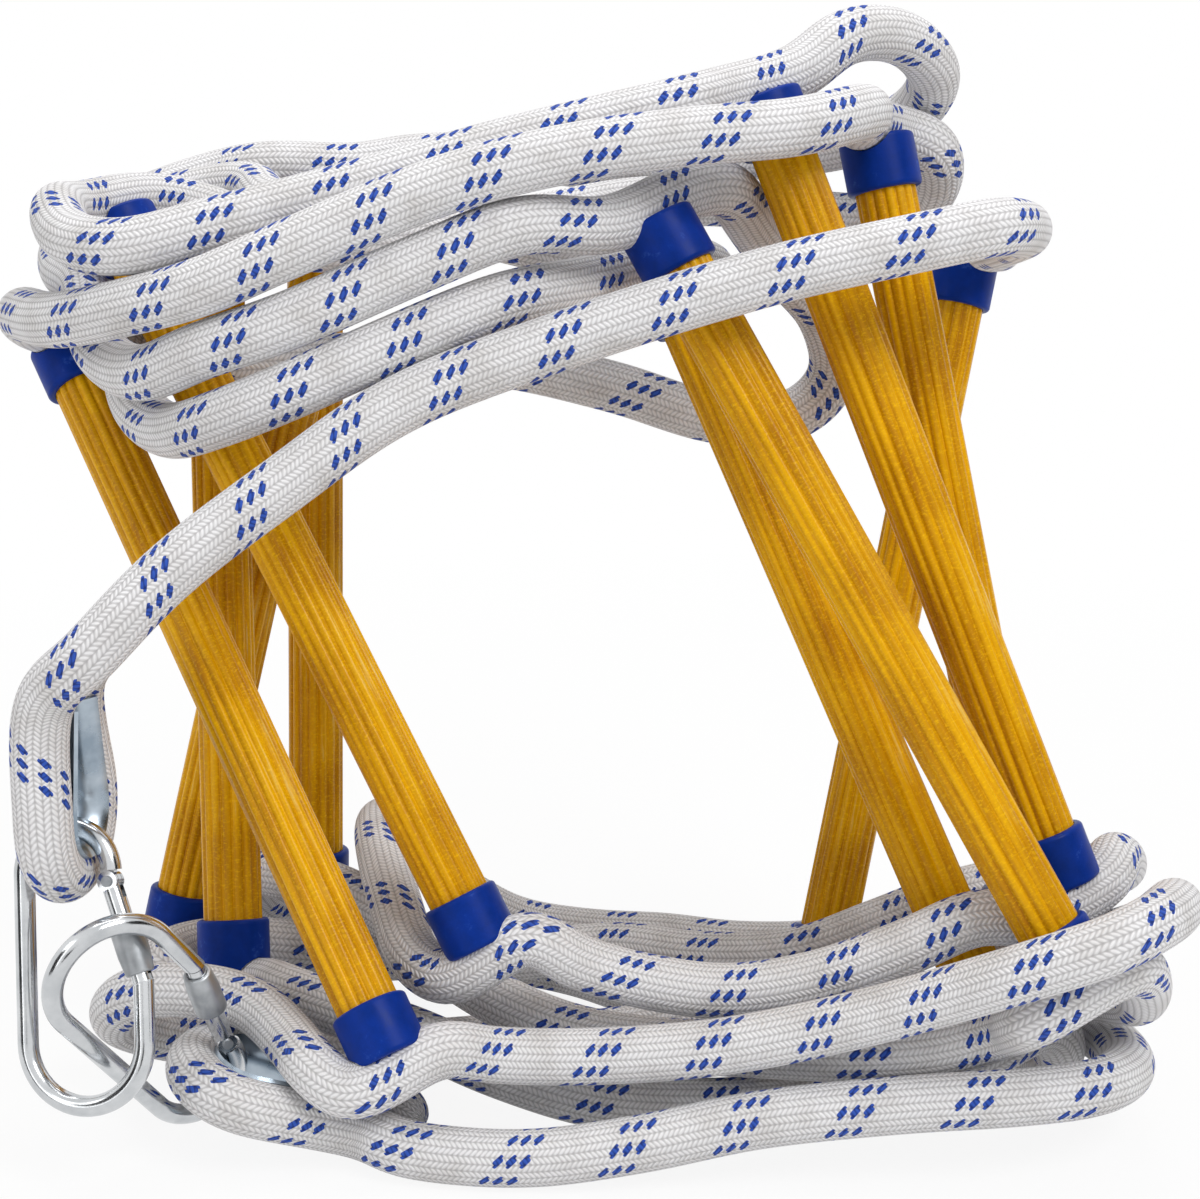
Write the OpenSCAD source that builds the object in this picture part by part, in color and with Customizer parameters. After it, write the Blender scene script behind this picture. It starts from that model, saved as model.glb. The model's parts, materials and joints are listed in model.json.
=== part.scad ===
// Rope escape ladder, bundled and stood on its side: ten ribbed rungs with capped ends, two braided side
// ropes that take up a rung at every turn, and on each rope a thimble eye with a screw-gate carabiner.
// Units are millimetres. The floor is Z = 0 and the front of the bundle faces -Y.

/* [Rungs] */
// Length of a rung over its two caps
rung_length = 330; // [300:1:400]
// Diameter of the rung tube over its ribs
tube_d = 25; // [22:0.5:26]
// Bore of the rung tube
tube_bore = 17; // [14:0.5:18]
// Number of ribs round the tube
rib_count = 16; // [13:1:24]
// Width of one rounded rib
rib_d = 4.4; // [4:0.1:5]
// Diameter of the core rope that passes through a rung
core_d = 11; // [8:0.5:12]

/* [Rung caps] */
// Outer diameter of a cap
cap_d = 30.6; // [29:0.2:32]
// Height of a cap
cap_height = 22; // [18:0.5:26]
// How deep the side rope sits in a cap
saddle_depth = 5.7; // [4:0.1:7]
// Plastic left between the saddle and the tube's socket
cap_web = 2.3; // [1.5:0.1:4]
// Radius of a cap's rounded rims
cap_round = 1.8; // [0.5:0.1:2.4]

/* [Ropes] */
// Diameter of the side ropes
rope_d = 22; // [18:0.5:22]
// Sides of a side rope's cross-section
rope_sides = 8; // [8:1:12]
// Clearance between a rope and what it sits in
rope_clearance = 0.3; // [0.2:0.05:0.6]
// Length of straight rope beyond a cap's sides and beyond a thimble's legs
seat_run = 4; // [4:0.5:8]

/* [Thimbles] */
// Radius of an eye, to the middle of its rope
eye_r = 25; // [25:0.5:30]
// Thickness of a thimble's metal
thimble_wall = 1.6; // [1.2:0.1:2]
// How far a thimble's channel wraps round the rope, from its middle to one lip
thimble_wrap = 55; // [40:1:60]
// Angle at which each leg of a thimble closes towards its point
thimble_taper = 10; // [8:1:12]
// Length of a thimble's straight legs
thimble_leg = 40; // [30:1:44]

/* [Carabiners] */
// Diameter of a carabiner's wire
wire_d = 8; // [7:0.5:8.5]
// Radius of the narrow bow, to the middle of the wire
narrow_r = 18; // [18:0.5:22]
// Radius of the wide bow, to the middle of the wire
wide_r = 24; // [22:0.5:28]
// Distance between the centres of the two bows
bow_distance = 64; // [58:1:76]
// Length of the nose arm above the wide bow
nose_arm = 22; // [18:1:26]
// Angle below the narrow bow's centre at which the gate is hinged
hinge_angle = 11; // [6:1:16]
// Outer diameter of the screw sleeve
sleeve_d = 12.6; // [11.5:0.1:13.5]
// Length of the screw sleeve
sleeve_length = 20; // [16:1:22]
// Diameter of the hinge rivet
rivet_d = 2.6; // [2:0.1:3]
// Thickness of the tangs that join the gate to the body
tang = 2.8; // [2.4:0.1:3.4]
// Running clearance of the moving parts of a carabiner
running_gap = 0.3; // [0.2:0.05:0.4]
// Length of the tongue on the nose that the gate closes over
tongue = 2.6; // [2:0.1:3.2]

/* [Hidden] */
$fn = 32;

// Sides of the larger round forms and of the carabiners' wire, in OpenSCAD's own mesh
ROUND = 48;
WIRE_ROUND = 24;
RUNGS = 10;
// Clearance of the socket in a cap on the tube's diameter
SOCKET_FIT = 0.2;
// How much flatter than the wire the knuckle at the gate's foot is, so that the rivet's heads bear on it
KNUCKLE_FLAT = 1;
// Length over which the gate's foot is flattened, beyond the wire's own diameter
FLAT_RUN = 3;
// Clearance of the rivet's hole on its diameter
RIVET_FIT = 0.04;
RIVET_HEAD = 0.8;
// How much wider the rivet's head is than its shank
RIVET_LIP = 1.6;
// Clearance of the rivet's heads on the knuckle, both sides together
RIVET_PLAY = 0.2;
// The tongue is narrower than the wire by this much on each side
TONGUE_INSET = 0.6;
// How far the tongue runs into the nose
TONGUE_ROOT = 1;
// How far the hinge's tang runs into the narrow bow
TANG_ROOT = 2;
// Depth of the gate's slots beyond the tongue and short of the knuckle
SLOT_SPARE = 0.5;
// Free length between the tongue and the drawn-back sleeve
SLEEVE_REST = 0.6;
SLEEVE_ROUND = 1;
FLUTES = 8;
FLUTE_D = 2.6;
// Distance from a flute's middle to the sleeve's outside, and from its ends to the sleeve's ends
FLUTE_RISE = 0.7;
FLUTE_END = 3;
// Brings the middle of the bundle over the origin
BUNDLE_OFFSET = [7.6, -16.9, 0];
// Each rung's lower and upper rope seat, in the order in which the side ropes reach them
RUNG_SEATS = [
    [[97, 56, 13], [166, 146, 333]],
    [[-133, 112, 31], [-127, 138, 370]],
    [[183, -104, 79], [18, -24, 366]],
    [[-78, -98, 44], [-227, 58, 307]],
    [[176, -30, 68], [111, 45, 393]],
    [[-44, -60, 75], [-198, 36, 362]],
    [[184, -62, 101], [61, 5, 411]],
    [[-155, 2, 38], [-168, 107, 361]],
    [[161, -60, 38], [27, 28, 338]],
    [[-192, 64, 29], [-115, 107, 357]]
];

// Eyes: centre, direction across the two legs, direction from the centre to the bend
UPPER_EYE = [[-203, -82, 144], [-0.14, -0.99, 0], [0, 0, -1]];
LOWER_EYE = [[-137, -72, 28], [0, -1, 0], [-0.95, 0, 0.3]];

// Carabiners: centre of the narrow bow, direction from spine to gate, direction from wide to narrow bow
UPPER_HOOK = [[-203.3, -85.3, 119.5], [0.97, -0.21, 0.11], [-0.04, 0.31, 0.95]];
LOWER_HOOK = [[-158.7, -81.5, 34.4], [0.73, 0.3, 0.61], [0.44, 0.48, -0.76]];

// Route of the upper side rope after its eye; a single number is the seat on that rung
UPPER_LEG = [[-182, -78, 213]];
UPPER_ROUTE = [
    [-187, -106, 211], [-158, -96, 240], [-118, -80, 269], [-76, -70, 297],
    [-20, -66, 319], [60, -64, 344], [115, -60, 356], [146, -50, 361], [162, -22, 358], [167, 30, 350],
    [167, 92, 340], 0,
    [120, 164, 342], [50, 160, 360], [-30, 152, 373], [-85, 148, 373], 1,
    [-168, 143, 367], [-207, 131, 354], [-229, 99, 340], [-224, 64, 332], [-210, 38, 328], [-200, 4, 309],
    [-178, -28, 303], [-150, -49, 315], [-115, -60, 328], [-66, -58, 349], [-30, -52, 362], 2,
    [48, -2, 372], [61, 24, 356], [76, 48, 335], [95, 66, 312], [100, 70, 288], [84, 72, 270],
    [52, 72, 268], [5, 72, 282], [-45, 72, 293], [-100, 60, 296], [-165, 50, 293], [-188, 60, 292],
    [-207, 75, 298], 3,
    [-232, 18, 320], [-212, -16, 322], [-181, -42, 330], [-148, -57, 340], [-118, -62, 353],
    [-59, -60, 377], [-15, -56, 388], [30, -48, 394], [72, -36, 397], [102, -4, 401], 4,
    [138, 70, 384], [143, 86, 368], [132, 106, 352], [100, 116, 350], [60, 110, 357], [15, 94, 358],
    [-30, 72, 352], [-80, 54, 346], [-125, 49, 345], [-165, 62, 358], 5,
    [-213, 4, 363], [-202, -24, 354], [-178, -40, 353], [-145, -42, 361], [-100, -37, 372],
    [-37, -30, 389], [30, -18, 404], 6,
    [98, 30, 429], [122, 48, 428], [138, 68, 414], [134, 94, 397], [108, 118, 382], [60, 126, 376],
    [0, 120, 375], [-50, 92, 373], [-90, 76, 361], [-138, 78, 358], 7,
    [-200, 104, 354], [-206, 82, 342], [-190, 53, 315], [-192, 27, 298], [-185, 4, 285], [-168, -24, 280],
    [-145, -50, 289], [-115, -61, 302], [-81, -60, 317], [-38, -48, 333], [-6, -18, 336], 8,
    [46, 62, 333], [34, 90, 331], [5, 106, 333], [-35, 109, 340], [-75, 108, 351], 9
];

// Route of the lower side rope, in the same way
LOWER_LEG = [[-70, -75, 12]];
LOWER_ROUTE = [
    [-77, -99, 12], [-30, -106, 11], [15, -106, 17], [60, -104, 26], [117, -105, 33],
    [160, -103, 35], [192, -92, 34], [210, -66, 30], [211, -30, 25], [200, 4, 20], [180, 30, 12],
    [140, 48, 11], 0,
    [62, 82, 11], [25, 98, 11], [-15, 101, 11], [-55, 101, 11], [-90, 103, 17], 1,
    [-160, 104, 42], [-160, 84, 58], [-145, 64, 64], [-118, 48, 64], [-88, 32, 54], [-69, 2, 48],
    [-40, -24, 40], [-12, -38, 34], [16, -48, 33], [60, -66, 38], [103, -83, 44], [133, -86, 48],
    [158, -90, 58], 2,
    [210, -84, 75], [213, -64, 59], [204, -42, 51], [187, -23, 43], [150, -10, 37], [110, -8, 34],
    [75, -4, 31], [40, 4, 20], [5, 8, 12], [-35, 6, 11], [-75, -2, 11], [-110, -4, 11], [-145, -2, 11],
    [-180, -8, 18], [-200, -26, 34], [-190, -42, 51], [-167, -50, 57], [-140, -57, 54], [-121, -76, 46],
    [-110, -95, 43], 3,
    [-44, -88, 46], [-10, -88, 45], [39, -92, 50], [69, -96, 57], [103, -102, 68], [131, -112, 81],
    [160, -126, 97], [186, -130, 108], [209, -113, 112], [219, -90, 108], [212, -64, 88], 4,
    [166, -2, 60], [166, 22, 48], [178, 54, 34], [186, 90, 30], [168, 114, 24], [142, 120, 16],
    [100, 113, 11], [63, 112, 11], [31, 122, 11], [-7, 128, 11], [-40, 126, 18], [-66, 114, 38],
    [-84, 100, 60], [-95, 74, 84], [-96, 46, 92], [-92, 14, 90], [-84, -18, 80], [-74, -46, 68], 5,
    [-10, -62, 74], [20, -64, 66], [50, -66, 63], [85, -70, 70], [120, -74, 85], [146, -74, 97], 6,
    [206, -38, 108], [214, -14, 96], [206, 14, 84], [184, 30, 74], [156, 34, 66], [120, 28, 54],
    [85, 20, 44], [43, 36, 36], [9, 52, 34], [-25, 54, 30], [-60, 54, 28], [-100, 54, 32],
    [-130, 48, 36], [-154, 48, 38], [-176, 43, 39], [-188, 31, 39], [-186, 17, 38], 7,
    [-129, -22, 44], [-106, -38, 43], [-76, -50, 38], [-40, -60, 26], [0, -66, 16], [50, -66, 14],
    [100, -62, 18], [130, -60, 26], 8,
    [187, -43, 29], [186, -27, 17], [172, -10, 12], [150, -6, 11], [125, -8, 11], [85, 4, 11], [50, 28, 11],
    [20, 52, 11], [-15, 74, 14], [-60, 77, 20], [-105, 74, 20], [-150, 68, 22], 9,
    [-216, 58, 30]
];

// Half the length of the straight that a rope keeps on each seat
seat_half = cap_d / 2 + seat_run;
// Distance from a rung's middle to the middle of the rope on its cap
seat_distance = rung_length / 2 + rope_d / 2 - saddle_depth;
// Depth of a cap's socket for the tube
socket_depth = cap_height - saddle_depth - cap_web;
tube_length = rung_length - 2 * (saddle_depth + cap_web);
core_length = rung_length - 2 * (saddle_depth + rope_clearance);

function unit(v) = v / norm(v);
function across(v, axis) = unit(v - axis * (v * axis));
function rung_axis(i) = unit(RUNG_SEATS[i][1] - RUNG_SEATS[i][0]);
function rung_middle(i) = (RUNG_SEATS[i][0] + RUNG_SEATS[i][1]) / 2;
// end is -1 at the lower cap and 1 at the upper cap
function seat(i, end) = rung_middle(i) + rung_axis(i) * end * seat_distance;

// Where rung i comes in a route
function stop_of(i, route) = [for (k = [0 : len(route) - 1]) if (route[k] == i) k][0];
function place_of(stop, end) = is_num(stop) ? seat(stop, end) : stop;
function place_before(route, k, end) = place_of(route[k - 1], end);
function place_after(route, k, end) =
    k + 1 < len(route) ? place_of(route[k + 1], end) : 2 * seat(route[k], end) - place_before(route, k, end);
// Direction of the rope on the seat at stop k: from the stop before to the stop after, square to the rung
function seat_direction(route, k, end) =
    across(place_after(route, k, end) - place_before(route, k, end), rung_axis(route[k]));
function stop_points(route, k, end) =
    is_num(route[k])
    ? [for (s = [-1, 1]) seat(route[k], end) + s * seat_half * seat_direction(route, k, end)]
    : [route[k]];
// The rope round an eye: a leg's end, the bend and the other leg's end, along the thimble's channel
function on_eye(eye, x, y) = eye[0] + x * unit(eye[1]) + y * unit(eye[2]);
function leg_end(eye, side) = let (leg = thimble_leg + seat_run)
    on_eye(eye, side * (eye_r * cos(thimble_taper) - leg * sin(thimble_taper)),
        -eye_r * sin(thimble_taper) - leg * cos(thimble_taper));
function eye_turn(eye) = let (reach = 90 + thimble_taper) concat([leg_end(eye, -1)],
    [for (a = [-reach : reach / 8 : reach]) on_eye(eye, eye_r * sin(a), eye_r * cos(a))], [leg_end(eye, 1)]);
function rope_path(leg, eye, route, end) =
    concat(leg, eye_turn(eye), [for (k = [0 : len(route) - 1]) each stop_points(route, k, end)]);

upper_path = rope_path(UPPER_LEG, UPPER_EYE, UPPER_ROUTE, 1);
lower_path = rope_path(LOWER_LEG, LOWER_EYE, LOWER_ROUTE, -1);

// Places its children with their X, Y and Z along the given square directions
module on_axes(origin, x, y, z) {
    o = origin + BUNDLE_OFFSET;
    multmatrix([[x.x, y.x, z.x, o.x], [x.y, y.y, z.y, o.y], [x.z, y.z, z.z, o.z]]) children();
}

// Places its children in the middle of rung i, with Z along the rung
module on_rung(i) {
    axis = rung_axis(i);
    x = across([1, 0, 0], axis);
    on_axes(rung_middle(i), x, cross(axis, x), axis) children();
}

// Places its children on one cap of rung i: Z out along the rung, X along the rope in the saddle
module on_cap(i, end) {
    route = end > 0 ? UPPER_ROUTE : LOWER_ROUTE;
    k = stop_of(i, route);
    axis = end * rung_axis(i);
    x = seat_direction(route, k, end);
    on_axes(rung_middle(i) + axis * rung_length / 2, x, cross(axis, x), axis) children();
}

module round_cylinder(d, h, r) {
    rotate_extrude($fn = ROUND) union() {
        square([d / 2 - r, h]);
        translate([0, r]) square([d / 2, h - 2 * r]);
        for (y = [r, h - r]) translate([d / 2 - r, y]) circle(r);
    }
}

module rung_tube(i) {
    color("goldenrod") on_rung(i) translate([0, 0, -tube_length / 2])
        linear_extrude(tube_length) difference() {
            union() {
                circle(d = tube_d - rib_d / 2, $fn = ROUND);
                for (k = [0 : rib_count - 1])
                    rotate(k * 360 / rib_count) translate([(tube_d - rib_d) / 2, 0]) circle(d = rib_d);
            }
            circle(d = tube_bore, $fn = ROUND);
        }
}

module rung_cap(i, end) {
    color("royalblue") on_cap(i, end) difference() {
        translate([0, 0, -cap_height]) round_cylinder(cap_d, cap_height, cap_round);
        translate([0, 0, -cap_height - 1])
            cylinder(d = tube_d + SOCKET_FIT, h = socket_depth + 1, $fn = ROUND);
        translate([0, 0, -cap_height]) cylinder(d = core_d + 2 * rope_clearance, h = cap_height + 1);
        translate([-cap_d, 0, rope_d / 2 - saddle_depth]) rotate([0, 90, 0])
            cylinder(d = rope_d + 2 * rope_clearance, h = 2 * cap_d, $fn = ROUND);
    }
}

module rung_core(i) {
    color("whitesmoke") on_rung(i) cylinder(d = core_d, h = core_length, center = true);
}

// Direction of a path at point k, as the mean of the stretches that meet there
function heading(path, k) =
    unit((k > 0 ? unit(path[k] - path[k - 1]) : [0, 0, 0])
        + (k < len(path) - 1 ? unit(path[k + 1] - path[k]) : [0, 0, 0]));
// Side directions of the rings, carried from each ring to the next without twist
function side_directions(path) =
    [for (k = 0, s = across([0.3, 0.2, 1], heading(path, 0)); k < len(path);
        k = k + 1, s = k < len(path) ? across(s, heading(path, k)) : s) s];
function rope_ring(centre, along, side) =
    [for (j = [0 : rope_sides - 1]) let (a = j * 360 / rope_sides)
        centre + rope_d / 2 * (cos(a) * side + sin(a) * cross(along, side))];

module swept_rope(path) {
    sides = side_directions(path);
    rings = len(path);
    points = [for (k = [0 : rings - 1]) each rope_ring(path[k], heading(path, k), sides[k])];
    first_end = [for (j = [0 : rope_sides - 1]) rope_sides - 1 - j];
    last_end = [for (j = [0 : rope_sides - 1]) (rings - 1) * rope_sides + j];
    walls = [for (k = [0 : rings - 2], j = [0 : rope_sides - 1]) let (n = (j + 1) % rope_sides)
        each [[k * rope_sides + j, k * rope_sides + n, (k + 1) * rope_sides + n],
            [k * rope_sides + j, (k + 1) * rope_sides + n, (k + 1) * rope_sides + j]]];
    faces = concat([first_end], walls, [last_end]);
    polyhedron([for (p = points) p + BUNDLE_OFFSET],
        [for (f = faces) [for (v = [len(f) - 1 : -1 : 0]) f[v]]]);
}

module upper_side_rope() { color("gainsboro") swept_rope(upper_path); }
module lower_side_rope() { color("gainsboro") swept_rope(lower_path); }

// Cross-section of a thimble's channel, with the middle of the rope at x = eye_r
module channel_section() {
    inner = rope_d / 2 + rope_clearance;
    translate([eye_r, 0]) intersection() {
        difference() {
            circle(r = inner + thimble_wall, $fn = ROUND);
            circle(r = inner, $fn = ROUND);
        }
        polygon([[0, 0], [-2 * eye_r * cos(thimble_wrap), 2 * eye_r * sin(thimble_wrap)], [-2 * eye_r, 0],
            [-2 * eye_r * cos(thimble_wrap), -2 * eye_r * sin(thimble_wrap)]]);
    }
}

// Thimble round the inside of an eye: X across the legs, Y towards the bend
module thimble(eye) {
    x = unit(eye[1]);
    y = unit(eye[2]);
    color("lightsteelblue") on_axes(eye[0], x, y, cross(x, y)) union() {
        rotate([0, 0, -thimble_taper])
            rotate_extrude(angle = 180 + 2 * thimble_taper, $fn = 2 * ROUND) channel_section();
        for (side = [0, 1]) mirror([side, 0, 0]) rotate([0, 0, -thimble_taper])
            rotate([90, 0, 0]) linear_extrude(thimble_leg) channel_section();
    }
}

// Places its children in a carabiner's frame: X from spine to gate, Y from wide to narrow bow
module on_hook(hook) {
    y = unit(hook[2]);
    x = across(hook[1], y);
    on_axes(hook[0], x, y, cross(x, y)) children();
}

hinge_point = narrow_r * [cos(hinge_angle), -sin(hinge_angle)];
wide_centre = [wide_r - narrow_r, -bow_distance];
nose_point = wide_centre + [wide_r, nose_arm];
gate_direction = unit(nose_point - hinge_point);
gate_length = norm(nose_point - hinge_point);
gate_angle = atan2(gate_direction.y, gate_direction.x);
// Radius of the hinge's knuckle
knuckle_r = wire_d / 2;
knuckle_height = wire_d - KNUCKLE_FLAT;
// The drawn-back sleeve leaves the tongue free, so that the gate can open
sleeve_start = gate_length - running_gap - tongue - SLEEVE_REST - sleeve_length;

module wire_between(a, b) {
    v = b - a;
    translate([a.x, a.y, 0]) rotate([0, 0, atan2(v.y, v.x)]) rotate([0, 90, 0])
        cylinder(d = wire_d, h = norm(v), $fn = WIRE_ROUND);
}

module wire_arc(centre, r, from, sweep) {
    translate([centre.x, centre.y, 0]) rotate([0, 0, from])
        rotate_extrude(angle = sweep, $fn = 64) translate([r, 0]) circle(d = wire_d, $fn = WIRE_ROUND);
}

// Places its children with X along the gate, from the hinge towards the nose
module on_gate() {
    translate([hinge_point.x, hinge_point.y, 0]) rotate([0, 0, gate_angle]) children();
}

module carabiner_body(hook) {
    fork_angle = asin((knuckle_r + running_gap) / narrow_r) - hinge_angle;
    color("silver") on_hook(hook) difference() {
        union() {
            mirror([0, 1, 0]) wire_arc([0, 0], narrow_r, 180, 180 - fork_angle);
            wire_between([-narrow_r, 0], [-narrow_r, -bow_distance]);
            wire_arc(wide_centre, wide_r, 180, 180);
            difference() {
                wire_between(wide_centre + [wide_r, 0], nose_point + [0, wire_d / 2]);
                on_gate() translate([gate_length - 2 * wire_d, -wire_d, -wire_d])
                    cube(2 * wire_d);
            }
            on_gate() translate([gate_length - tongue, -wire_d / 2 + TONGUE_INSET, -tang / 2])
                cube([tongue + TONGUE_ROOT, wire_d - 2 * TONGUE_INSET, tang]);
            on_gate() cylinder(r = knuckle_r, h = tang, center = true);
            on_gate() rotate([0, 0, 180 - gate_angle - (90 - hinge_angle)]) translate([0, -tang, -tang / 2])
                cube([knuckle_r + TANG_ROOT, 2 * tang, tang]);
        }
        on_gate() cylinder(d = rivet_d + RIVET_FIT, h = 2 * wire_d, center = true);
    }
}

module gate(hook) {
    slot = tang + 2 * running_gap;
    end = gate_length - running_gap;
    color("lightgray") on_hook(hook) on_gate() difference() {
        union() {
            rotate([0, 90, 0]) cylinder(d = wire_d, h = end, $fn = WIRE_ROUND);
            cylinder(d = wire_d, h = knuckle_height, center = true);
        }
        translate([-wire_d, -wire_d, -slot / 2]) cube([2 * wire_d - SLOT_SPARE, 2 * wire_d, slot]);
        translate([end - tongue - SLOT_SPARE, -wire_d, -slot / 2])
            cube([tongue + 2 * SLOT_SPARE, 2 * wire_d, slot]);
        cylinder(d = rivet_d + RIVET_FIT, h = 2 * wire_d, center = true);
        for (z = [knuckle_height / 2, -knuckle_height / 2 - wire_d])
            translate([-wire_d, -wire_d, z]) cube([wire_d + FLAT_RUN, 2 * wire_d, wire_d]);
    }
}

module rivet(hook) {
    color("gray") on_hook(hook) on_gate() union() {
        cylinder(d = rivet_d, h = knuckle_height + RIVET_PLAY, center = true);
        for (s = [-1, 1])
            translate([0, 0, s * (knuckle_height + RIVET_HEAD) / 2])
                cylinder(d = rivet_d + RIVET_LIP, h = RIVET_HEAD, center = true);
    }
}

module sleeve(hook) {
    color("darkgray") on_hook(hook) on_gate() translate([sleeve_start, 0, 0]) rotate([0, 90, 0])
        difference() {
            round_cylinder(sleeve_d, sleeve_length, SLEEVE_ROUND);
            translate([0, 0, -1]) cylinder(d = wire_d + 2 * running_gap / 3, h = sleeve_length + 2);
            for (k = [0 : FLUTES - 1])
                rotate(k * 360 / FLUTES) translate([sleeve_d / 2 + FLUTE_RISE, 0, FLUTE_END])
                    cylinder(d = FLUTE_D, h = sleeve_length - 2 * FLUTE_END);
        }
}

function numbered(name) = [for (i = [1 : RUNGS]) str(name, i)];

for (i = [0 : RUNGS - 1]) {
    rung_tube(i);
    rung_cap(i, -1);
    rung_cap(i, 1);
    rung_core(i);
}
upper_side_rope();
lower_side_rope();
thimble(UPPER_EYE);  // upper_thimble
thimble(LOWER_EYE);  // lower_thimble
carabiner_body(UPPER_HOOK);  // upper_carabiner_body
gate(UPPER_HOOK);  // upper_gate
rivet(UPPER_HOOK);  // upper_hinge_rivet
sleeve(UPPER_HOOK);  // upper_screw_sleeve
carabiner_body(LOWER_HOOK);  // lower_carabiner_body
gate(LOWER_HOOK);  // lower_gate
rivet(LOWER_HOOK);  // lower_hinge_rivet
sleeve(LOWER_HOOK);  // lower_screw_sleeve
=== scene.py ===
import json
import math
import bmesh
import bpy
import numpy as np
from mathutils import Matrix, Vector


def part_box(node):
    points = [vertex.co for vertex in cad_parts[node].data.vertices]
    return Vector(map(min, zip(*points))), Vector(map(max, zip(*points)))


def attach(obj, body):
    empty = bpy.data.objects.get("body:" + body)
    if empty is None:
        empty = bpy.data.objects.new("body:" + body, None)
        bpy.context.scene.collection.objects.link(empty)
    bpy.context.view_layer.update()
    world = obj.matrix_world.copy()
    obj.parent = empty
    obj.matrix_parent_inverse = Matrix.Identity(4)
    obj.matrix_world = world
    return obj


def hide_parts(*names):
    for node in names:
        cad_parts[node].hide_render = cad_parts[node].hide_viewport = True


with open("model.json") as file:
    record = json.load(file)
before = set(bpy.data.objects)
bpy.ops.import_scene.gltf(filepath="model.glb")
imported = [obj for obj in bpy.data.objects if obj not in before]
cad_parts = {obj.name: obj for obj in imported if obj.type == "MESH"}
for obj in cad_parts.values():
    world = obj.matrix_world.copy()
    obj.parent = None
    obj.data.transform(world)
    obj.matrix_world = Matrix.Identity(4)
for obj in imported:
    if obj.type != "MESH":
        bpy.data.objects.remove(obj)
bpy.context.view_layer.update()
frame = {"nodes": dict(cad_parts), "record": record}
nodes = frame["nodes"]
print("frame loaded")

mm = 0.001
bundleOffset = Vector((7.6, -16.9, 0))  # brings the middle of the bundle over the origin

cameraSet = {"place": (0, -970.3, 447.9), "target": (0, 0, 206), "lens": 73.7, "sensor": 36.0}  # all in mm
cameraData = bpy.data.cameras.new("camera")
cameraData.sensor_width = cameraSet["sensor"]
cameraData.lens = cameraSet["lens"]
camera = bpy.data.objects.new("camera", cameraData)
bpy.context.scene.collection.objects.link(camera)
camera.location = (Vector(cameraSet["place"]) + bundleOffset) * mm
lookAlong = Vector(cameraSet["target"]) - Vector(cameraSet["place"])
camera.rotation_euler = lookAlong.to_track_quat("-Z", "Y").to_euler()
bpy.context.scene.camera = camera
print("camera placed")


# lower and upper rope seat of each rung, in the order in which the side ropes reach them, in mm
rungSeats = [
    [(97, 56, 13), (166, 146, 333)],
    [(-133, 112, 31), (-127, 138, 370)],
    [(183, -104, 79), (18, -24, 366)],
    [(-78, -98, 44), (-227, 58, 307)],
    [(176, -30, 68), (111, 45, 393)],
    [(-44, -60, 75), (-198, 36, 362)],
    [(184, -62, 101), (61, 5, 411)],
    [(-155, 2, 38), (-168, 107, 361)],
    [(161, -60, 38), (27, 28, 338)],
    [(-192, 64, 29), (-115, 107, 357)],
]

# end is 1 for the seats on the upper caps and -1 for the lower ones; eye is its centre, the direction across
# its legs and the direction to its bend; a bare number in the route is the seat on that rung, counted from 0
upperRope = {
    "end": 1,
    "eye": [(-203, -82, 144), (-0.14, -0.99, 0), (0, 0, -1)],
    "leg": [(-182, -78, 213)],
    "route": [
        (-187, -106, 211), (-158, -96, 240), (-118, -80, 269), (-76, -70, 297),
        (-20, -66, 319), (60, -64, 344), (115, -60, 356), (146, -50, 361), (162, -22, 358), (167, 30, 350),
        (167, 92, 340), 0,
        (120, 164, 342), (50, 160, 360), (-30, 152, 373), (-85, 148, 373), 1,
        (-168, 143, 367), (-207, 131, 354), (-229, 99, 340), (-224, 64, 332), (-210, 38, 328), (-200, 4, 309),
        (-178, -28, 303), (-150, -49, 315), (-115, -60, 328), (-66, -58, 349), (-30, -52, 362), 2,
        (48, -2, 372), (61, 24, 356), (76, 48, 335), (95, 66, 312), (100, 70, 288), (84, 72, 270),
        (52, 72, 268), (5, 72, 282), (-45, 72, 293), (-100, 60, 296), (-165, 50, 293), (-188, 60, 292),
        (-207, 75, 298), 3,
        (-232, 18, 320), (-212, -16, 322), (-181, -42, 330), (-148, -57, 340), (-118, -62, 353),
        (-59, -60, 377), (-15, -56, 388), (30, -48, 394), (72, -36, 397), (102, -4, 401), 4,
        (138, 70, 384), (143, 86, 368), (132, 106, 352), (100, 116, 350), (60, 110, 357), (15, 94, 358),
        (-30, 72, 352), (-80, 54, 346), (-125, 49, 345), (-165, 62, 358), 5,
        (-213, 4, 363), (-202, -24, 354), (-178, -40, 353), (-145, -42, 361), (-100, -37, 372),
        (-37, -30, 389), (30, -18, 404), 6,
        (98, 30, 429), (122, 48, 428), (138, 68, 414), (134, 94, 397), (108, 118, 382), (60, 126, 376),
        (0, 120, 375), (-50, 92, 373), (-90, 76, 361), (-138, 78, 358), 7,
        (-200, 104, 354), (-206, 82, 342), (-190, 53, 315), (-192, 27, 298), (-185, 4, 285), (-168, -24, 280),
        (-145, -50, 289), (-115, -61, 302), (-81, -60, 317), (-38, -48, 333), (-6, -18, 336), 8,
        (46, 62, 333), (34, 90, 331), (5, 106, 333), (-35, 109, 340), (-75, 108, 351), 9,
    ],
}
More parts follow.
